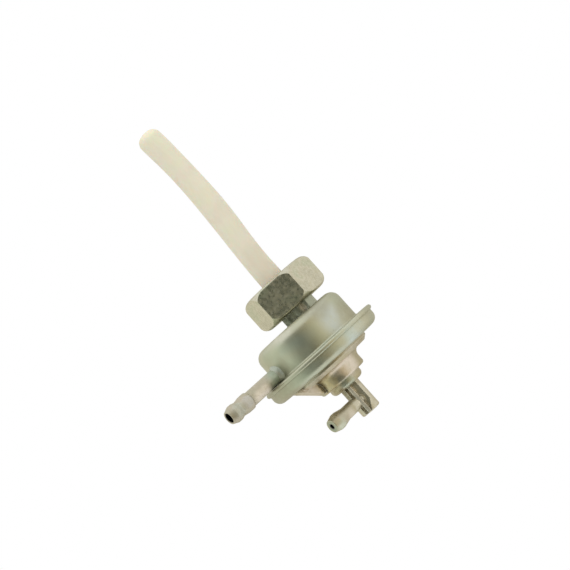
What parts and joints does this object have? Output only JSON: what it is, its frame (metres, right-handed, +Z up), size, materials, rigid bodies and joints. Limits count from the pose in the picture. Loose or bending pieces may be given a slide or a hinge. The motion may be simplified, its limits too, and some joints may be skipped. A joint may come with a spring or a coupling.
{
  "type": "fuel tap",
  "caption": "Vacuum-operated fuel tap with a long strainer sock, a captive union nut, a drawn round housing, a barbed fuel outlet and a barbed vacuum inlet.",
  "frame": {"origin": "centre of the tank gasket's sealing face, on the axis of the union nut", "axes": "+Z up as fitted under a tank, along the nut's axis towards the strainer's tip; -X along the fuel outlet, away from the housing"},
  "size_m": [0.0579, 0.0418, 0.1084],
  "materials": {
    "nylon_mesh": "fine woven nylon mesh, cream, slightly translucent",
    "nylon_collar": "moulded nylon",
    "brass_tube": "drawn brass tube",
    "seal_rubber": "black nitrile rubber",
    "nut_plating": "zinc plated, semi-matt with a fine grain",
    "neck_plating": "zinc plated, semi-gloss",
    "fibre_washer": "red vulcanised fibre",
    "turned_brass": "turned brass",
    "housing_plating": "drawn steel, bright zinc plated, slight iridescence",
    "outlet_plating": "turned steel, zinc plated",
    "braze_metal": "plated-over brazing metal",
    "diaphragm_rubber": "nitrile on woven cloth",
    "spacer_alloy": "stamped aluminium",
    "cover_casting": "zinc die casting, yellow passivated",
    "plate_steel": "stamped steel, zinc plated",
    "spring_steel": "drawn stainless wire"
  },
  "bodies": {
    "tap_body": {"strainer_sock": "nylon_mesh", "strainer_collar": "nylon_collar", "standpipe": "brass_tube", "tank_gasket": "seal_rubber", "inlet_neck": "neck_plating", "neck_washer": "fibre_washer", "seat_block": "turned_brass", "upper_cup": "housing_plating", "fuel_outlet_barb": "outlet_plating", "outlet_braze_ring": "braze_metal", "lower_pan": "housing_plating", "fuel_diaphragm": "diaphragm_rubber", "diaphragm_spacer_ring": "spacer_alloy", "vacuum_diaphragm": "diaphragm_rubber", "vacuum_cover": "cover_casting", "return_spring": "spring_steel"},
    "nut": {"union_nut": "nut_plating"},
    "valve": {"valve_pad": "seal_rubber", "valve_stem": "turned_brass", "fuel_side_plate": "plate_steel", "centre_spacer": "spacer_alloy", "spring_plate": "plate_steel", "stem_washer": "plate_steel"}
  },
  "joints": [
    {"name": "nut_spin", "type": "hinge", "parent": "tap_body", "child": "nut", "pos_m": [0, 0, 0], "axis": [0, 0, 1], "continuous": true},
    {"name": "valve_lift", "type": "slide", "parent": "tap_body", "child": "valve", "axis": [0, 0, -1], "range_m": [0, 0.0016], "stiffness_N_per_m": 400, "springref_m": -0.006, "deforming": ["return_spring", "fuel_diaphragm", "vacuum_diaphragm"]}
  ]
}
